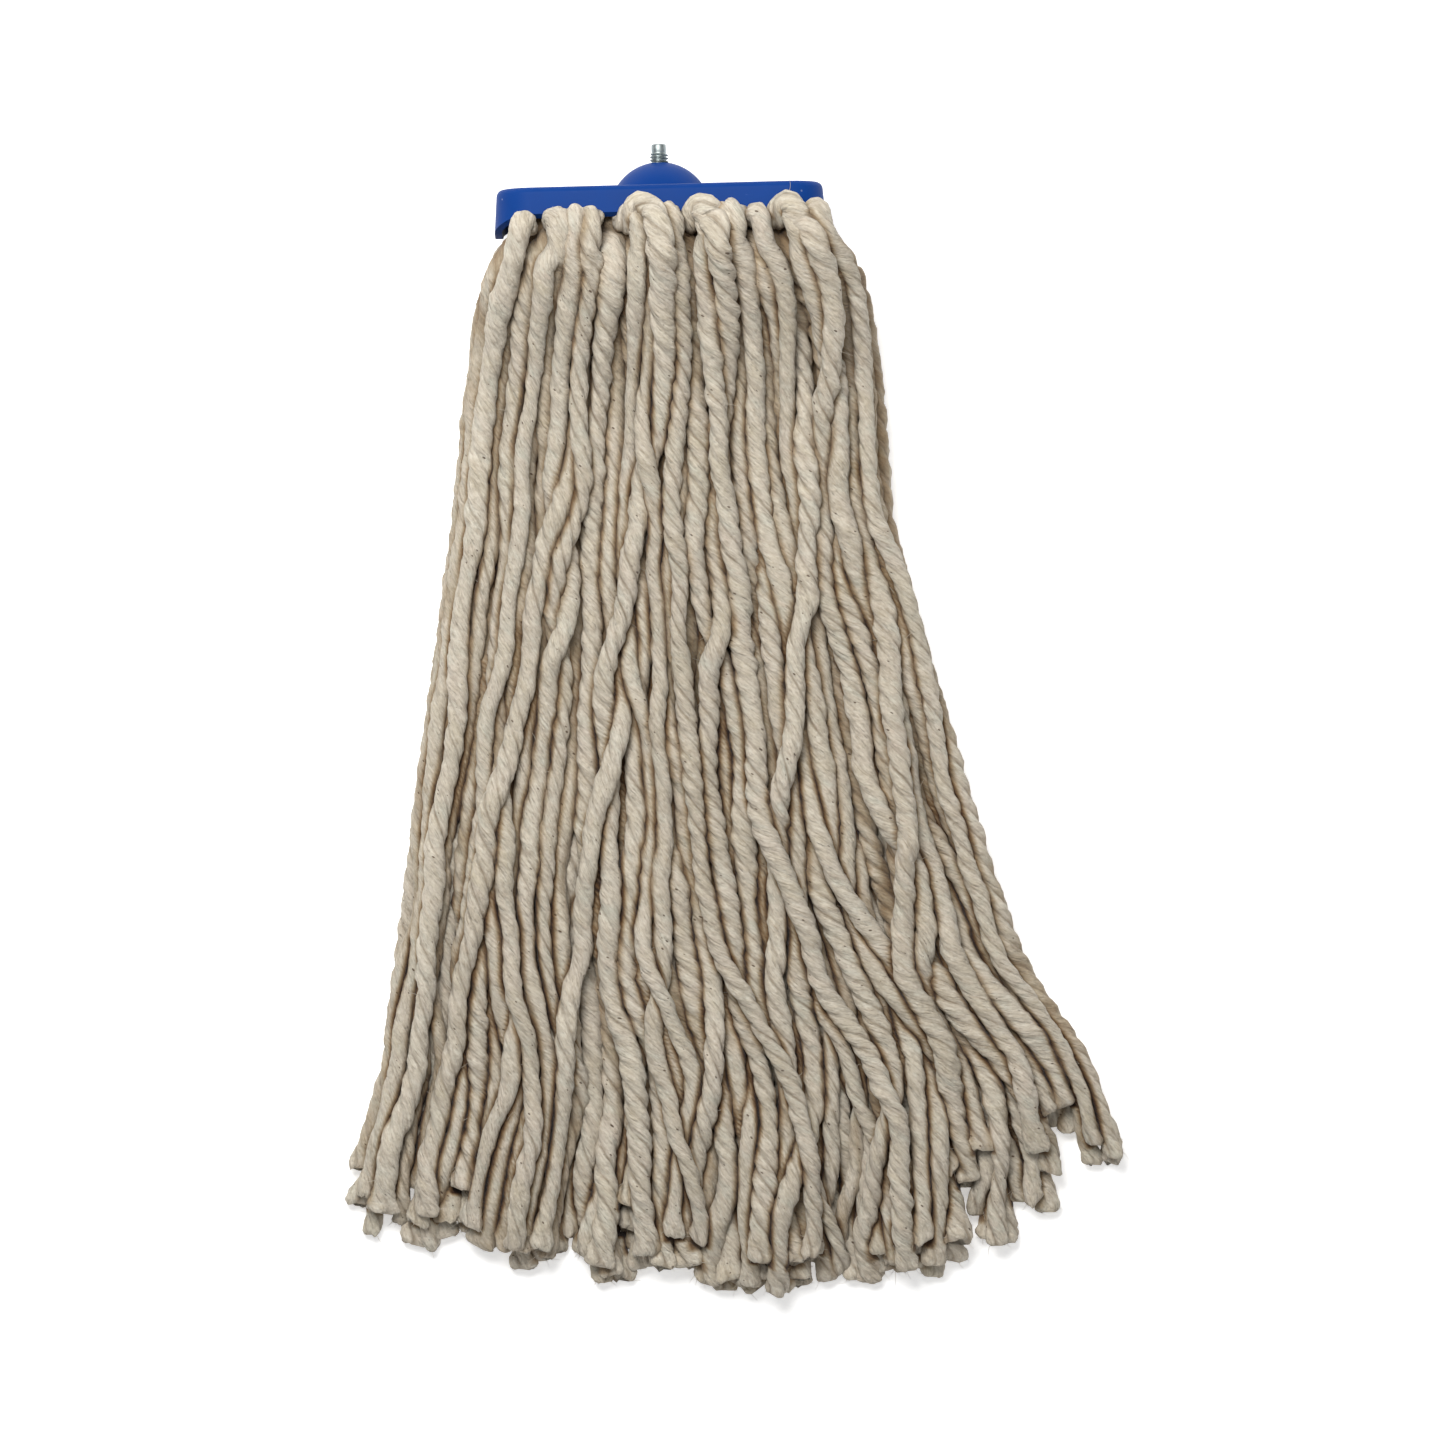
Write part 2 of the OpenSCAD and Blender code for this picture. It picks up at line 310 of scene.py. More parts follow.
def first_paths(st):
    """Every strand's path before it settles, its length, and how many of its points are held."""
    t = np.linspace(0, 1, 44)
    stray = Stray(st, t)
    path = np.zeros((st.count, st.points, 3))
    length, held = np.zeros(st.count), np.zeros(st.count, int)
    for k in range(st.count):
        front = st.skirt[k] == 1
        out = way_out(st.row[k], front, stray.climb[k])
        lying = lying_part(st, stray, k, t, out[-1, 0] - 18 * MM)
        u = np.linspace(0, 1, len(out))
        swing = 0.5 * u ** 2.4
        x = st.mouth_x[k] * (1 - swing) + lying[0, 0] * swing + 0.5 * stray.sideways[k] * u ** 1.3
        first = np.stack([x, out[:, 0], (1 if front else -1) * out[:, 1]], 1)
        way = smooth_way(np.concatenate([first, lying]))
        fine, _ = even_points(way, 6 * st.points)
        path[k], length[k] = even_points(fine, st.points)
        over_wall = st.row[k] == 0 and front
        spacing = length[k] / (st.points - 1)
        held[k] = int((HELD_OVER_WALL if over_wall else HELD) / spacing) + 1
    return path, length, held


def smooth_way(way, rounds=2):
    """Cuts the corners of a path."""
    for _ in range(rounds):
        a, b = way[:-1], way[1:]
        cut = np.empty((2 * len(a), 3))
        cut[0::2], cut[1::2] = 0.75 * a + 0.25 * b, 0.25 * a + 0.75 * b
        way = np.concatenate([way[:1], cut, way[-1:]])
    return way


def close_pairs(p, owner, reach):
    """Pairs of points of different strands that are nearer than reach, found on a grid of cells."""
    cell = np.floor((p - p.min(0)) / reach).astype(np.int64) + 1
    size = cell.max(0) + 2
    key = (cell[:, 0] * size[1] + cell[:, 1]) * size[2] + cell[:, 2]
    order = np.argsort(key, kind="stable")
    ranked = key[order]
    found = []
    for dx in (0, 1):
        for dy in (-1, 0, 1):
            for dz in (-1, 0, 1):
                if (dx, dy, dz) < (0, 0, 0):
                    continue
                other = key + (dx * size[1] + dy) * size[2] + dz
                first = np.searchsorted(ranked, other, "left")
                many = np.searchsorted(ranked, other, "right") - first
                i = np.repeat(np.arange(len(p)), many)
                offset = np.arange(len(i)) - np.repeat(np.cumsum(many) - many, many)
                j = order[np.repeat(first, many) + offset]
                keep = owner[i] != owner[j]
                if (dx, dy, dz) == (0, 0, 0):
                    keep &= j > i
                i, j = i[keep], j[keep]
                near = ((p[i] - p[j]) ** 2).sum(1) < reach * reach
                found.append((i[near], j[near]))
    return (np.concatenate([f[0] for f in found]), np.concatenate([f[1] for f in found]))


def push_apart(flat, radius, i, j):
    """Moves the points of each overlapping pair away from each other."""
    apart = flat[i] - flat[j]
    far = np.sqrt((apart ** 2).sum(1)) + 1e-9
    deep = 0.92 * (radius[i] + radius[j]) - far
    hit = deep > 0
    push = (0.5 * deep[hit] / far[hit])[:, None] * apart[hit]
    i, j = i[hit], j[hit]
    many = np.bincount(i, minlength=len(flat)) + np.bincount(j, minlength=len(flat))
    soft = 1.0 / np.sqrt(np.maximum(many, 1))
    for axis, ease in ((0, 1.0), (1, 0.3), (2, 1.0)):
        move = np.bincount(i, push[:, axis], len(flat)) - np.bincount(j, push[:, axis], len(flat))
        flat[:, axis] += move * soft * ease


def keep_lengths(p, gap):
    """Brings each link between neighbouring points back to its own length."""
    for first in (0, 1, 0, 1):
        a, b = p[:, first:-1:2], p[:, first + 1::2]
        m = min(a.shape[1], b.shape[1])
        a, b = a[:, :m], b[:, :m]
        link = b - a
        size = np.sqrt((link ** 2).sum(-1, keepdims=True)) + 1e-9
        fix = 0.5 * (size - gap) / size * link
        a += fix
        b -= fix


def keep_clear(p, r):
    """Keeps the strands above the floor, inside the cap's walls and outside its front wall."""
    in_cap = p[:, :, 1] > rim_y
    roof = wall_z - CAP_WALL - 0.9 * r
    outside = p[:, :, 2] > wall_z - 0.5 * CAP_WALL
    over = np.maximum(p[:, :, 2], wall_z + 0.9 * r)
    z = np.where(outside, over, np.clip(p[:, :, 2], -roof, roof))
    p[:, :, 2] = np.where(in_cap, z, p[:, :, 2])
    wall = cap_high.x - CAP_WALL - r
    p[:, :, 0] = np.where(in_cap & ~outside, np.clip(p[:, :, 0], -wall, wall), p[:, :, 0])
    p[:, :, 2] = np.maximum(p[:, :, 2], floor_z + 0.97 * r)
    low, high = sides(p[:, :, 1])
    p[:, :, 0] = np.where(in_cap, p[:, :, 0], np.clip(p[:, :, 0], low + 0.6 * r, high - 0.6 * r))


def settle(st, path, length, held):
    """Lets the strands push each other apart, sink and rest on the floor, at their own lengths."""
    p = path.copy()
    n = st.points
    gap = (length / (n - 1))[:, None, None]
    s = np.arange(n)[None, :] * gap[:, :, 0]
    owner = np.repeat(np.arange(st.count), n)
    bulk = 1 + FLUFFED * smooth_step(s, 4 * MM, 16 * MM) * (1 - smooth_step(s, 30 * MM, 80 * MM))
    r = st.radius[:, None] * bulk * (SQUEEZED + (1 - SQUEEZED) * smooth_step(s, 1 * MM, 16 * MM))
    bend = path[:, 1:-1] - 0.5 * (path[:, :-2] + path[:, 2:])
    free = (np.arange(n)[None, :] >= held[:, None])[..., None]
    for step in range(SETTLE):
        if step % 8 == 0:
            i, j = close_pairs(p.reshape(-1, 3), owner, 2.4 * STRAND_R)
        p[:, :, 2] -= 0.15 * MM * (1.0 if step < 0.7 * SETTLE else 0.6)
        p[:, :, 0] += 0.02 * (path[:, :, 0] - p[:, :, 0])
        flat = p.reshape(-1, 3)
        push_apart(flat, r.ravel(), i, j)
        p = flat.reshape(p.shape)
        for _ in range(2):
            middle = 0.5 * (p[:, :-2] + p[:, 2:]) + bend
            p[:, 1:-1] += 0.26 * (middle - p[:, 1:-1])
        keep_lengths(p, gap)
        p = np.where(free, p, path)
        keep_clear(p, r)
        p = np.where(free, p, path)
    return p, r


strands = Strands()
paths, lengths, held_points = first_paths(strands)
paths, radii = settle(strands, paths, lengths, held_points)

# ---------------------------------------------------------------- yarn: the twisted strands' meshes

RING = 1.9 * MM
PLIES = 3
PER_PLY = 8
PLY_R = 0.55                    # a ply's radius, as a share of its strand's
PLY_OUT = 0.45                  # how far a ply's centre stands from the strand's
LEAD = (27.0 * MM, 35.0 * MM)   # the length of one full turn of the plies
FRAY = 15.0 * MM                # length over which a cut end spreads into a soft paddle
TIP = 3.8 * MM                  # length over which each ply's tip rounds off
LINT = 9                        # loose fibres on each strand
TIP_LINT = 7                    # loose fibres on each cut end
LINT_R = 0.11 * MM
SIDES = PLIES * PER_PLY


def resample(path, values, gap, s):
    """Positions and values at distances s along a strand, on a smooth curve through its points."""
    u = np.clip(s / gap, 0, len(path) - 1.0001)
    k = u.astype(int)
    f = (u - k)[:, None]
    last = len(path) - 1
    p0, p1 = path[np.maximum(k - 1, 0)], path[k]
    p2, p3 = path[np.minimum(k + 1, last)], path[np.minimum(k + 2, last)]
    curve = 0.5 * (2 * p1 + (p2 - p0) * f + (2 * p0 - 5 * p1 + 4 * p2 - p3) * f * f
                   + (3 * p1 - p0 - 3 * p2 + p3) * f ** 3)
    return curve, np.interp(u, np.arange(last + 1), values)


def frames_along(curve):
    """The direction of a curve, and two directions square to it, carried along without twisting."""
    tangent = np.gradient(curve, axis=0)
    tangent /= np.linalg.norm(tangent, axis=1, keepdims=True)
    side = np.zeros_like(curve)
    first = np.cross(tangent[0], (0.0, 0.0, 1.0))
    if np.linalg.norm(first) < 0.1:
        first = np.cross(tangent[0], (1.0, 0.0, 0.0))
    side[0] = first / np.linalg.norm(first)
    for k in range(1, len(curve)):
        v = side[k - 1] - tangent[k] * (side[k - 1] @ tangent[k])
        side[k] = v / np.linalg.norm(v)
    return tangent, side, np.cross(tangent, side)


def wobble(noise, s, around, size):
    """A smooth random surface over the length s and the angle around, of about the given size."""
    total = np.zeros((len(s), len(around)))
    for lobes, wave in ((1, 17.0), (2, 11.0), (3, 7.5), (5, 5.5), (4, 4.4)):
        phase = noise.uniform(0, 2 * np.pi, 2)
        turning = noise.uniform(-1, 1) * s[:, None] / (9 * MM)
        total += (np.sin(lobes * around[None, :] + phase[0] + turning)
                  * np.sin(2 * np.pi * s[:, None] / (wave * MM) + phase[1]))
    return 1 + size * total / 1.4


def knots(noise, s, many, size):
    """Smooth-ish random values along s, from many evenly spaced random ones."""
    return np.interp(s, np.linspace(s[0], s[-1], many), noise.normal(0, size, many))


class Collector:
    """Gathers closed tubes into one mesh, with the attributes that the yarn's material reads."""

    def __init__(self):
        self.points, self.quads, self.fans = [], [], []
        self.data = {"fibre": [], "look": []}
        self.total = 0

    def tube(self, rings, fibre, look, hollow=0.0):
        """Adds a tube; rings, fibre and look are arrays of (rings, sides, 3).

        The sides turn right-handed about the path. hollow moves the middle of the last face.
        """
        count, sides = rings.shape[:2]
        ring = self.total + np.arange(count - 1)[:, None] * sides
        k = np.arange(sides)[None, :]
        nxt = (k + 1) % sides
        quads = np.stack([ring + k, ring + nxt, ring + sides + nxt, ring + sides + k], -1)
        self.quads.append(quads.reshape(-1, 4))
        first, last = self.total + count * sides, self.total + count * sides + 1
        start, stop = self.total, self.total + (count - 1) * sides
        k, nxt = k[0], nxt[0]
        self.fans.append(np.stack([np.full(sides, first), start + nxt, start + k], -1))
        self.fans.append(np.stack([np.full(sides, last), stop + k, stop + nxt], -1))
        self.points += [rings.reshape(-1, 3), rings[0].mean(0)[None]]
        self.points.append(rings[-1].mean(0)[None] + hollow)
        for kept, values in ((self.data["fibre"], fibre), (self.data["look"], look)):
            kept += [values.reshape(-1, 3), values[0, :1], values[-1, :1]]
        self.total += count * sides + 2

    def mesh(self, name):
        points = np.concatenate(self.points)
        points[:, 2] = np.clip(points[:, 2], floor_z + 0.05 * MM, highest_z)
        quads, fans = np.concatenate(self.quads), np.concatenate(self.fans)
        loops = np.concatenate([quads.ravel(), fans.ravel()])
        sizes = np.concatenate([np.full(len(quads), 4), np.full(len(fans), 3)])
        mesh = bpy.data.meshes.new(name)
        mesh.vertices.add(len(points))
        mesh.vertices.foreach_set("co", points.astype(np.float32).ravel())
        mesh.loops.add(len(loops))
        mesh.loops.foreach_set("vertex_index", loops.astype(np.int32))
        mesh.polygons.add(len(sizes))
        starts = np.concatenate([[0], np.cumsum(sizes)[:-1]])
        mesh.polygons.foreach_set("loop_start", starts.astype(np.int32))
        mesh.polygons.foreach_set("loop_total", sizes.astype(np.int32))
        for title, data in self.data.items():
            attribute = mesh.attributes.new(title, "FLOAT_VECTOR", "POINT")
            attribute.data.foreach_set("vector", np.concatenate(data).astype(np.float32).ravel())
        mesh.update(calc_edges=True)
        mesh.validate()
        mesh.polygons.foreach_set("use_smooth", np.ones(len(mesh.polygons), bool))
        return mesh


def lobe(local):
    """The outline of a ply, at an angle from its crest, as a share of the strand's radius."""
    return PLY_OUT * np.cos(local) + np.sqrt(PLY_R ** 2 - (PLY_OUT * np.sin(local)) ** 2)


PLY_ANGLE = (np.arange(PER_PLY) / PER_PLY - 0.5) * (2 * np.pi / PLIES)
PLY_CENTRE = np.repeat(np.arange(PLIES) * 2 * np.pi / PLIES, PER_PLY)
ROUND = PLY_CENTRE + np.tile(PLY_ANGLE, PLIES)
LOBE = np.tile(lobe(PLY_ANGLE), PLIES)
CREST = np.tile(1 - np.abs(PLY_ANGLE) / (np.pi / PLIES), PLIES)


def ring_places(length, cut):
    """Distances along a strand where its rings are, and how far the plies are closed there."""
    s = np.linspace(0, length - TIP, max(4, int(round(length / RING))))
    tip = np.zeros(len(s))
    if cut:
        quarter = np.linspace(0, np.pi / 2, 6)[1:]
        s = np.concatenate([s, length - TIP + TIP * np.sin(quarter)])
        tip = np.concatenate([tip, 1 - np.cos(quarter)])
    return s, tip


def ply_outline(noise, s, near_end):
    """A strand's outline at each ring, as shares of its radius, and how deep its grooves are."""
    groove = noise.uniform(0.28, 0.66) + knots(noise, s, 30, 0.12) + 0.15 * near_end
    groove = np.clip(groove, 0.15, 0.85)[:, None]
    plies = np.stack([knots(noise, s, 26, 0.07) for _ in range(PLIES)], 1)
    plies += near_end[:, None] * noise.uniform(-0.06, 0.18, PLIES)
    swell = 1 + np.repeat(plies, PER_PLY, axis=1) * CREST[None, :]
    shape = (1 - groove * (1 - LOBE[None, :])) * (0.93 + 0.07 * groove)
    return shape * swell * wobble(noise, s, ROUND, 0.045 + 0.03 * near_end[:, None]), groove


def ply_reach(noise):
    """How much further each side of a cut end reaches than its middle, in millimetres."""
    reach = noise.uniform(-2.5, 1.5, PLIES)
    between = np.repeat(0.5 * (reach + np.roll(reach, 1)), PER_PLY)
    return between * (1 - CREST) + np.repeat(reach, PER_PLY) * CREST


def strand_body(noise, path, radius, gap, length, cut=True):
    """One strand's twisted body: its rings, its centre line, and its cut end where it has one.

    A cut end spreads into a flat paddle, and each ply in it has its own length and blunt tip.
    """
    s, tip = ring_places(length, cut)
    curve, r = resample(path, radius, gap, s)
    tangent, side, up = frames_along(curve)
    level = np.cross(tangent, (0.0, 0.0, 1.0))
    level /= np.linalg.norm(level, axis=1, keepdims=True) + 1e-6
    near_end = smooth_step(s, length - FRAY, length - 0.1 * FRAY) * cut
    lead = noise.uniform(*LEAD)
    slub = 1 + knots(noise, s, 16, 0.075) + knots(noise, s, 60, 0.04)
    untwisted = 0.7 * np.clip(s - (length - FRAY), 0, FRAY) ** 2 / (2 * FRAY) * cut
    turn = noise.uniform(0, 2 * np.pi) - 2 * np.pi * (s - untwisted) / lead
    turn = turn + knots(noise, s, 12, 0.4)
    shape, groove = ply_outline(noise, s, near_end)
    angle = ROUND[None, :] + turn[:, None]
    pleats = np.cos(6 * ROUND + noise.uniform(0, 6))[None, :] * near_end[:, None]
    size = (r * slub)[:, None] * shape * (1 + 0.06 * pleats)
    centre = turn[:, None] + PLY_CENTRE[None, :]
    inner = (r * slub)[:, None] * PLY_OUT * 1.25
    shut = np.minimum(tip, 0.6)[:, None]
    local = (1 - shut) * size * np.cos(angle) + shut * inner * np.cos(centre)
    height = (1 - shut) * size * np.sin(angle) + shut * inner * np.sin(centre)
    offset = local[..., None] * side[:, None] + height[..., None] * up[:, None]
    wide = np.clip(1.07 + knots(noise, s, 14, 0.06), 0.96, 1.25)
    wide = wide * (1 + noise.uniform(0.10, 0.45) * near_end)
    sideways = (offset * level[:, None]).sum(-1, keepdims=True) * level[:, None]
    offset = sideways * wide[:, None, None] + (offset - sideways) / (wide ** 0.7)[:, None, None]
    offset += (near_end[:, None] * ply_reach(noise)[None, :] * MM)[..., None] * tangent[:, None]
    return {"s": s, "curve": curve, "tangent": tangent, "r": r, "offset": offset, "groove": groove,
            "near_end": near_end}


SHADE = 2.3 * MM                # how far from its neighbour a strand's side is in its shade
CELL = 6.0 * MM                 # the grid on which a skirt's faces are found
BURIED_SHADE = 0.75                   # how much painted shade the inside of a skirt gets


def face_of(points, low, size, side):
    """A skirt's upper (side 1) or lower (side -1) face, on a grid of cells, evened out."""
    cell = ((points[:, :2] - low) / CELL).astype(int)
    face = np.full(size, -1.0)
    np.maximum.at(face, (cell[:, 0], cell[:, 1]), points[:, 2] * side)
    padded = np.pad(face, 1, mode="edge")
    near = np.stack([padded[a:a + size[0], b:b + size[1]] for a in range(3) for b in range(3)])
    known = near > -0.9
    return side * np.where(known, near, 0).sum(0) / np.maximum(known.sum(0), 1)


def depths(bodies):
    """How far inside its skirt each point of each strand is, from 0 at its faces to 1."""
    centre = np.concatenate([b["curve"] for b in bodies])
    r = np.concatenate([b["r"] for b in bodies])
    low = centre[:, :2].min(0) - 2 * CELL
    size = tuple(np.ceil((centre[:, :2].max(0) - low) / CELL).astype(int) + 2)
    lift = np.stack([0 * r, 0 * r, r], 1)
    top = face_of(centre + lift, low, size, 1)
    bottom = face_of(centre - lift, low, size, -1)
    inside = []
    for body in bodies:
        points = body["curve"][:, None] + body["offset"]
        u = np.clip((points[..., :2] - low) / CELL - 0.5, 0, np.array(size) - 1.001)
        a, b = u[..., 0].astype(int), u[..., 1].astype(int)
        fa, fb = u[..., 0] - a, u[..., 1] - b
        above, under = [((1 - fa) * (1 - fb) * face[a, b] + fa * (1 - fb) * face[a + 1, b]
                         + (1 - fa) * fb * face[a, b + 1] + fa * fb * face[a + 1, b + 1])
                        for face in (top, bottom)]
        deep = np.minimum(above - points[..., 2], points[..., 2] - under)
        inside.append(np.clip((deep - 3 * MM) / (8 * MM), 0, 1))
    return inside


def crowding(bodies):
    """How closely a neighbouring strand covers each point of each strand, from 0 to 1; the yarn's
    colour shows it as painted shade.
    """
    size = [len(b["s"]) for b in bodies]
    owner = np.repeat(np.arange(len(bodies)), size)
    centre = np.concatenate([b["curve"] for b in bodies])
    tangent = np.concatenate([b["tangent"] for b in bodies])
    r = np.concatenate([b["r"] for b in bodies])
    offset = np.concatenate([b["offset"] for b in bodies])
    i, j = close_pairs(centre, owner, 2.9 * STRAND_R)
    i, j = np.concatenate([i, j]), np.concatenate([j, i])
    away = centre[j] - centre[i]
    along = (away * tangent[i]).sum(1)
    beside = np.abs(along) < 0.7 * RING
    i, j, away, along = i[beside], j[beside], away[beside], along[beside]
    order = np.argsort(i, kind="stable")
    i, j, away, along = i[order], j[order], away[order], along[order]
    away = away - along[:, None] * tangent[i]
    room = np.linalg.norm(offset[i] - away[:, None], axis=2) - r[j][:, None]
    facing = (offset[i] * away[:, None]).sum(-1) > 0
    apart = smooth_step(np.linalg.norm(away, axis=1) / (r[i] + r[j]), 0.55, 0.8)
    cover = np.clip(1 - room / SHADE, 0, 1) * facing * apart[:, None]
    first = np.concatenate([[0], np.flatnonzero(np.diff(i)) + 1])
    crowd = np.zeros(offset.shape[:2])
    crowd[i[first]] = np.maximum.reduceat(cover, first, axis=0)
    return np.split(crowd, np.cumsum(size)[:-1])


def spread(*values):
    return np.stack(np.broadcast_arrays(*values), -1)


def add_body(gather, k, body, crowd, tone):
    rings = body["curve"][:, None] + body["offset"]
    along = (body["s"] + 0.61 * k)[:, None]
    fibre = spread(np.cos(ROUND)[None] * STRAND_R, np.sin(ROUND)[None] * STRAND_R, along)
    # The look attribute carries the tone, the ply crest for the painted groove shade, and crowd as
    # painted shade, weaker near the cut end.
    dip = 1 - (1 - CREST[None, :]) * np.clip(1.5 * body["groove"] + 0.15, 0, 1)
    gather.tube(rings, fibre, spread(tone, dip, crowd * (1 - 0.7 * body["near_end"][:, None])),
                body["tangent"][-1] * -0.8 * TIP * (body["near_end"][-1] > 0))


def add_lint(gather, noise, body, tone):
    """Loose fibres that stand a little off a strand, and more of them at its cut end."""
    last = len(body["s"]) - 1
    along = noise.integers(4, last - 8, LINT)
    at_tip = noise.integers(last - 8, last - 1, TIP_LINT)
    for ring in np.concatenate([along, at_tip]):
        out = body["offset"][ring, noise.integers(SIDES)]
        root = body["curve"][ring] + 0.97 * out
        out = out / np.linalg.norm(out)
        away = noise.normal(0, 1, 3)
        away = away / np.linalg.norm(away) + 0.9 * out
        if ring > last - 9:
            away = 0.6 * away + 0.8 * body["tangent"][ring]
        reach = noise.uniform(1.0, 3.3) * MM
        u = np.linspace(0, 1, 5)[:, None]
        curve = root + reach * (u * away + u * u * noise.normal(0, 0.5, 3))
        _, first, second = frames_along(curve)
        around = np.arange(4) * np.pi / 2
        r = LINT_R * (1 - 0.6 * u[:, :, None])
        hair = curve[:, None] + r * (np.cos(around)[None, :, None] * first[:, None]
                                     + np.sin(around)[None, :, None] * second[:, None])
        gather.tube(hair, hair, spread(tone, np.ones(hair.shape[:2]), 0.0))


def add_object(name, mesh):
    obj = bpy.data.objects.new(name, mesh)
    bpy.context.scene.collection.objects.link(obj)
    return obj


def build_skirts(material):
    """One piece for each bundle, in place of its plain CAD solid."""
    seeds = [np.random.default_rng(1000 + k) for k in range(strands.count)]
    gaps = lengths / (strands.points - 1)
    bodies = [strand_body(seed, paths[k], radii[k], gaps[k], lengths[k])
              for k, seed in enumerate(seeds)]
    # crowd is painted shade: the yarn's colour darkens where a neighbouring strand lies close, and
    # deep inside each skirt.
    crowd = [None] * strands.count
    for skirt in range(2):
        own = np.flatnonzero(strands.skirt == skirt)
        kept = [bodies[k] for k in own]
        for k, body, cover, depth in zip(own, kept, crowding(kept), depths(kept)):
            # The painted shade grows from the mouth towards the cut ends, so the pile is darker
            # towards its ends.
            shade_scale = 0.42 + 0.60 * body["s"] / body["s"][-1]
            cover *= np.clip(shade_scale + knots(seeds[k], body["s"], 40, 0.25), 0.15, 1.0)[:, None]
            buried_shade = BURIED_SHADE * depth * np.clip(0.3 + shade_scale, 0, 1)[:, None]
            crowd[k] = np.maximum(cover, buried_shade)
    for skirt, name in enumerate(SKIRTS):
        for bundle in range(BUNDLES):
            gather = Collector()
            for k in np.flatnonzero((strands.skirt == skirt) & (strands.bundle == bundle)):
                tone = seeds[k].random()
                add_body(gather, k, bodies[k], crowd[k], tone)
                add_lint(gather, seeds[k], bodies[k], tone)
            title = f"{name}_strands_{bundle + 1}"
            piece = add_object(title, gather.mesh(title))
            piece.data.materials.append(material)
            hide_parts(f"{name}_yarn_{bundle + 1}")
            if name == "front":
                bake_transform(piece)
            else:
                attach(piece, "head")


def build_fold(material):
    """The strands' middles, squeezed flat between the cap and the clamp bar."""
    gather = Collector()
    top_y = [fold_high.y - 1.3 * MM, fold_high.y - 3.3 * MM, clamp_high.y + 1.6 * MM]
    flat_r = 0.9 * MM
    front = np.flatnonzero(strands.skirt == 1)
    for k in front:
        noise = np.random.default_rng(5000 + k)
        row = strands.row[k]
        x, back_x = paths[k][0, 0], paths[k - front[0]][0, 0]
        y0, z0 = rim_y + 2.5 * MM, INNER_Z[row]
        y1, z1 = top_y[row], max(INNER_Z[row] - 3 * MM, 9 * MM)
        half_y = y0 + 0.5 * (y1 - y0)
        way = np.array([(x, y0, z0), (x, half_y, z0), (x, y1, z1), (0.5 * (x + back_x), y1, 0),
                        (back_x, y1, -z1), (back_x, half_y, -z0), (back_x, y0, -z0)])
        path, length = even_points(smooth_way(way), 24)
        across_bar = smooth_step(np.abs(path[:, 2]), 9 * MM, 14 * MM)
        r = flat_r + (SQUEEZED * strands.radius[k] - flat_r) * across_bar
        body = strand_body(noise, path, r, length / 23, length, cut=False)
        # The middles inside the cap get an even painted shade of 0.4.
        add_body(gather, k, body, np.full(body["offset"].shape[:2], 0.4), noise.random())
    piece = add_object("strand_middles", gather.mesh("strand_middles"))
    piece.data.materials.append(material)
    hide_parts("yarn_fold")
    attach(piece, "head")


# ---------------------------------------------------------------- the threaded bolt

PITCH = 25.4 / 18 * MM
THREAD_DEPTH = 0.6 * PITCH
MAJOR_R = 3.97 * MM
TIP_R = 3.1 * MM
THREAD_TOP = 4.2 * MM           # where the thread ends and the plain tip begins
HEAD_HEIGHT = 5.2 * MM


def build_bolt(material):
    """The bolt with its hex head, real thread and plain tip, turned as one closed surface."""
    sides = 72
    around = np.arange(sides) * 2 * np.pi / sides
    flats = 0.5 * (bolt_high.z - bolt_low.z)
    hexagon = flats / np.cos(np.mod(around, np.pi / 3) - np.pi / 6)
    head_top = bolt_low.y + HEAD_HEIGHT
    profile = [(bolt_low.y, np.minimum(hexagon, flats * 0.93)),
               (bolt_low.y + 0.7 * MM, np.minimum(hexagon, flats * 1.13)),
               (head_top - 0.3 * MM, hexagon), (head_top, hexagon * 0.98),
               (head_top, np.full(sides, MAJOR_R + 0.3 * MM)),
               (head_top + 0.3 * MM, np.full(sides, MAJOR_R))]
    for y in np.arange(head_top + 1.5 * MM, THREAD_TOP, PITCH / 12):
        turn = np.mod((y + PITCH * around / (2 * np.pi)) / PITCH, 1.0)
        cut = np.clip((0.5 - np.abs(turn - 0.5)) * 3.2 - 0.2, 0, 1)
        fade = np.clip((THREAD_TOP - y) / (0.8 * PITCH), 0, 1)
        crest = MAJOR_R - (1 - fade) * (MAJOR_R - TIP_R - 0.1 * MM)
        profile.append((y, np.maximum(crest - THREAD_DEPTH * cut, TIP_R - 0.05 * MM)))
    top = bolt_high.y
    for y, r in ((THREAD_TOP, TIP_R - 0.1 * MM), (THREAD_TOP + 0.35 * MM, TIP_R),
                 (top - 0.45 * MM, TIP_R), (top - 0.12 * MM, TIP_R - 0.22 * MM),
                 (top, TIP_R - 0.6 * MM), (top - 0.1 * MM, TIP_R - 1.6 * MM)):
        profile.append((y, np.full(sides, r)))
    rings = np.array([np.stack([r * np.cos(around), np.full(sides, y), -r * np.sin(around)], 1)
                      for y, r in profile])
    gather = Collector()
    gather.tube(rings, rings, rings)
    piece = add_object("threaded_bolt", gather.mesh("threaded_bolt"))
    piece.data.materials.append(material)
    piece.data.set_sharp_from_angle(angle=math.radians(35))
    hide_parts("bolt")
    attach(piece, "head")


# ---------------------------------------------------------------- materials

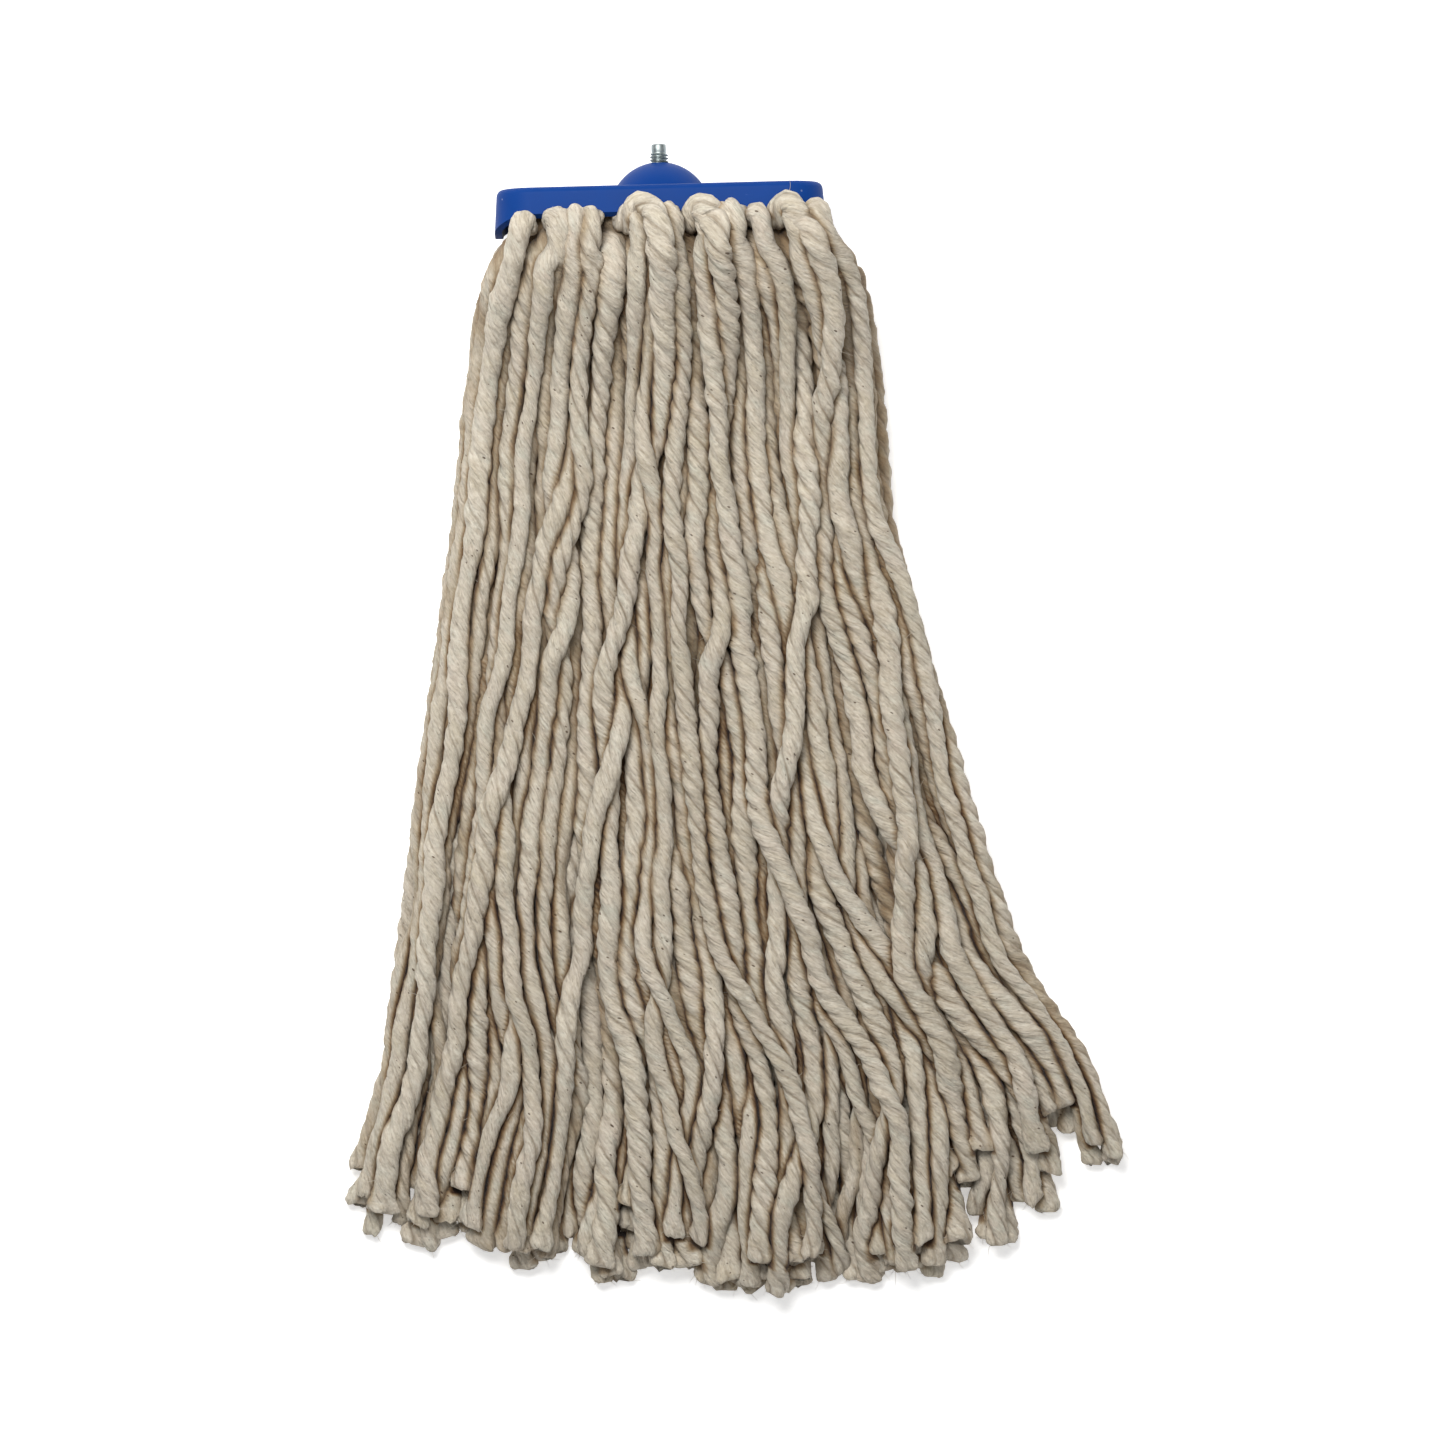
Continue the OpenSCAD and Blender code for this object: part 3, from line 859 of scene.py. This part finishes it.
class Tree:
    """Short calls for building a material's nodes."""

    def __init__(self, name):
        self.material = bpy.data.materials.new(name)
        self.material.use_nodes = True
        self.nodes = self.material.node_tree.nodes
        self.links = self.material.node_tree.links
        self.shader = self.nodes["Principled BSDF"]

    def add(self, kind, inputs=None, **settings):
        node = self.nodes.new(kind)
        for key, value in settings.items():
            setattr(node, key, value)
        for key, value in (inputs or {}).items():
            self.put(node.inputs[key], value)
        return node

    def put(self, socket, value):
        if isinstance(value, bpy.types.NodeSocket):
            self.links.new(value, socket)
        else:
            socket.default_value = value

    def maths(self, operation, a, b=0.0):
        return self.add("ShaderNodeMath", {0: a, 1: b}, operation=operation).outputs[0]

    def mix(self, factor, a, b):
        node = self.add("ShaderNodeMix", data_type="RGBA")
        self.put(node.inputs["Factor"], factor)
        for key, value in (("A", a), ("B", b)):
            self.put(node.inputs[key], (*value, 1.0) if isinstance(value, tuple) else value)
        return node.outputs["Result"]

    def tint(self, colour, light, powers):
        """The colour in less light, which each channel loses at its own rate."""
        channels = {k: self.maths("POWER", light, p) for k, p in enumerate(powers)}
        parts = self.add("ShaderNodeCombineColor", channels)
        node = self.add("ShaderNodeMix", data_type="RGBA", blend_type="MULTIPLY")
        for key, value in (("Factor", 1.0), ("A", colour), ("B", parts.outputs[0])):
            self.put(node.inputs[key], value)
        return node.outputs["Result"]

    def span(self, value, low, high, to_low=0.0, to_high=1.0):
        return self.add("ShaderNodeMapRange", {"Value": value, "From Min": low, "From Max": high,
                                               "To Min": to_low, "To Max": to_high}).outputs[0]

    def stretched(self, vector, scale):
        return self.add("ShaderNodeMapping", {"Vector": vector, "Scale": scale}).outputs[0]

    def noise(self, vector, scale, detail=3.0, rough=0.5):
        return self.add("ShaderNodeTexNoise", {"Vector": vector, "Scale": scale, "Detail": detail,
                                               "Roughness": rough}).outputs["Fac"]

    def bump(self, height, strength, distance, normal=None):
        node = self.add("ShaderNodeBump", {"Height": height, "Strength": strength,
                                           "Distance": distance})
        if normal is not None:
            self.put(node.inputs["Normal"], normal)
        return node.outputs[0]

    def finish(self, **sockets):
        for name, value in sockets.items():
            self.put(self.shader.inputs[name.replace("_", " ")], value)
        return self.material


def cotton():
    """Natural cotton: twisted singles, fibre streaks along the plies, tints and seed specks, with
    painted shade in the ply grooves, in the fine creases and between strands.

    crest is 1 on a ply and 0 in a groove, and crowd is 1 where the other strands hide the light.
    """
    t = Tree("cotton_yarn")
    fibre = t.add("ShaderNodeAttribute", attribute_name="fibre").outputs["Vector"]
    look = t.add("ShaderNodeAttribute", attribute_name="look").outputs["Vector"]
    parts = t.add("ShaderNodeSeparateXYZ", {0: look})
    tone, crest, crowd = parts.outputs[0], parts.outputs[1], parts.outputs[2]
    where = t.add("ShaderNodeSeparateXYZ", {0: fibre})
    spin = t.maths("ARCTAN2", where.outputs[1], where.outputs[0])
    phase = t.maths("ADD", t.maths("MULTIPLY", spin, 12.0),
                    t.maths("MULTIPLY", where.outputs[2], 260.0))
    waver = t.noise(t.stretched(fibre, (1.0, 1.0, 0.5)), 160.0, 2.0)
    single = t.maths("SINE", t.maths("ADD", phase, t.maths("MULTIPLY", waver, 7.0)))
    streak = t.noise(t.stretched(fibre, (1.0, 1.0, 0.16)), 1400.0, 3.0, 0.6)
    patch = t.noise(fibre, 95.0, 3.0, 0.55)
    wide = t.noise(fibre, 24.0, 2.0, 0.5)
    hue = t.noise(t.stretched(fibre, (1.0, 1.0, 0.7)), 260.0, 3.0, 0.6)
    fuzz = t.noise(fibre, 2600.0, 3.0, 0.7)
    grain = t.noise(t.stretched(fibre, (1.0, 1.0, 0.5)), 820.0, 4.0, 0.75)
    colour = t.mix(tone, (0.543, 0.483, 0.382), (0.637, 0.580, 0.477))
    colour = t.mix(t.span(wide, 0.38, 0.66, 0.0, 0.8), colour, (0.621, 0.549, 0.461))
    colour = t.mix(t.span(patch, 0.52, 0.78, 0.0, 0.5), colour, (0.548, 0.479, 0.341))
    colour = t.mix(t.span(patch, 0.46, 0.26, 0.0, 0.6), colour, (0.548, 0.555, 0.472))
    colour = t.mix(t.span(hue, 0.55, 0.75, 0.0, 0.4), colour, (0.554, 0.442, 0.356))
    colour = t.mix(t.span(hue, 0.42, 0.25, 0.0, 0.35), colour, (0.615, 0.618, 0.542))
    colour = t.mix(t.span(streak, 0.40, 0.78, 0.0, 0.28), colour, (0.31, 0.250, 0.175))
    colour = t.mix(t.span(grain, 0.50, 0.66, 0.0, 0.42), colour, (0.30, 0.250, 0.180))
    colour = t.mix(t.span(grain, 0.49, 0.34, 0.0, 0.38), colour, (0.795, 0.761, 0.670))
    # Painted shade in the ply grooves, where crest is low, its strength broken up by noise.
    groove_shade_amount = t.span(t.noise(fibre, 120.0, 3.0), 0.35, 0.65, 0.2, 0.72)
    fold = t.maths("MULTIPLY", t.span(crest, 0.32, 0.02), groove_shade_amount)
    colour = t.mix(fold, colour, (0.19, 0.136, 0.084))
    broken = t.span(t.noise(fibre, 260.0, 3.0), 0.50, 0.68)
    # Painted shade in the fine creases between the twisted singles.
    painted_crease_shade = t.maths("MULTIPLY", t.span(single, -0.45, -1.0, 0.0, 0.5), broken)
    colour = t.mix(painted_crease_shade, colour, (0.22, 0.165, 0.110))
    wrinkle = t.noise(t.stretched(fibre, (1.0, 1.0, 0.42)), 420.0, 4.0, 0.7)
    colour = t.mix(t.span(wrinkle, 0.54, 0.64, 0.0, 0.34), colour, (0.26, 0.205, 0.140))
    # Painted shade: the colour darkens and turns browner where crowd is high.
    light = t.maths("SUBTRACT", 1.0, t.maths("MULTIPLY", crowd, 0.95))
    colour = t.tint(colour, light, (1.3, 1.70, 2.25))
    cells = t.add("ShaderNodeTexVoronoi", {"Vector": fibre, "Scale": 300.0})
    pick = t.add("ShaderNodeSeparateColor", {0: cells.outputs["Color"]}).outputs[0]
    speck = t.maths("LESS_THAN", cells.outputs["Distance"], t.span(pick, 0.72, 1.0, 0.0, 0.18))
    colour = t.mix(t.maths("MULTIPLY", speck, 0.85), colour, (0.070, 0.036, 0.016))
    lines = t.maths("MULTIPLY", t.span(single, -1.0, -0.3), t.span(broken, 0.0, 1.0, 0.25, 1.0))
    height = t.maths("ADD", lines, streak)
    normal = t.bump(height, 0.5, 0.0004)
    normal = t.bump(wrinkle, 1.0, 0.0014, normal)
    normal = t.bump(patch, 0.7, 0.0014, normal)
    normal = t.bump(grain, 0.8, 0.0009, normal)
    normal = t.bump(fuzz, 0.4, 0.0003, normal)
    return t.finish(Base_Color=colour, Roughness=0.95, Normal=normal, Sheen_Weight=0.15,
                    Sheen_Roughness=0.6, Specular_IOR_Level=0.12)


def blue_plastic():
    """Satin blue moulded plastic with fine texture, scuffs and dust."""
    t = Tree("cap_plastic")
    place = t.add("ShaderNodeTexCoord").outputs["Object"]
    grain = t.noise(place, 2200.0, 3.0, 0.6)
    cloud = t.noise(place, 38.0, 4.0, 0.6)
    scuff = t.noise(t.stretched(place, (0.25, 1.0, 1.0)), 620.0, 5.0, 0.75)
    colour = t.mix(t.span(cloud, 0.3, 0.7), (0.0045, 0.039, 0.200), (0.0065, 0.046, 0.226))
    colour = t.mix(t.span(scuff, 0.64, 0.80, 0.0, 0.35), colour, (0.07, 0.14, 0.36))
    cells = t.add("ShaderNodeTexVoronoi", {"Vector": place, "Scale": 260.0})
    pick = t.add("ShaderNodeSeparateColor", {0: cells.outputs["Color"]}).outputs[1]
    dust = t.maths("LESS_THAN", cells.outputs["Distance"], t.span(pick, 0.84, 1.0, 0.0, 0.13))
    colour = t.mix(t.maths("MULTIPLY", dust, 0.25), colour, (0.40, 0.46, 0.58))
    rough = t.span(cloud, 0.3, 0.7, 0.42, 0.55)
    return t.finish(Base_Color=colour, Roughness=rough, Normal=t.bump(grain, 0.12, 0.0001),
                    Specular_IOR_Level=0.06)


def zinc():
    """Bright zinc plate with faint mottling."""
    t = Tree("zinc_steel")
    place = t.add("ShaderNodeTexCoord").outputs["Object"]
    cloud = t.noise(place, 900.0, 4.0, 0.6)
    fine = t.noise(place, 5200.0, 2.0, 0.5)
    colour = t.mix(t.span(cloud, 0.3, 0.7), (0.26, 0.305, 0.315), (0.38, 0.42, 0.415))
    rough = t.span(cloud, 0.3, 0.7, 0.38, 0.56)
    return t.finish(Base_Color=colour, Roughness=rough, Normal=t.bump(fine, 0.15, 0.00005),
                    Metallic=1.0)


def floor_white():
    t = Tree("floor")
    place = t.add("ShaderNodeTexCoord").outputs["Object"]
    colour = t.mix(t.noise(place, 3.0, 2.0), (0.93, 0.93, 0.93), (0.95, 0.95, 0.95))
    t.shader.inputs["Emission Color"].default_value = (1.0, 1.0, 1.0, 1.0)
    return t.finish(Base_Color=colour, Roughness=0.9, Specular_IOR_Level=0.1,
                    Emission_Strength=0.40)


def dress(node, material):
    """Gives a CAD node a better material."""
    for slot in nodes[node].material_slots:
        slot.link = "OBJECT"
        slot.material = material


# ---------------------------------------------------------------- the build

cotton_yarn = cotton()
cap_plastic = blue_plastic()
zinc_steel = zinc()
build_skirts(cotton_yarn)
build_fold(cotton_yarn)
build_bolt(zinc_steel)
for part in ("cap", "clamp_bar"):
    dress(part, cap_plastic)
for part in ("nut", "washer", "lock_washer"):
    dress(part, zinc_steel)

bpy.ops.mesh.primitive_plane_add(size=8.0, location=(0, 0, floor_z - 0.0002))
ground = bpy.context.object
ground.name = "floor"
ground.data.materials.append(floor_white())
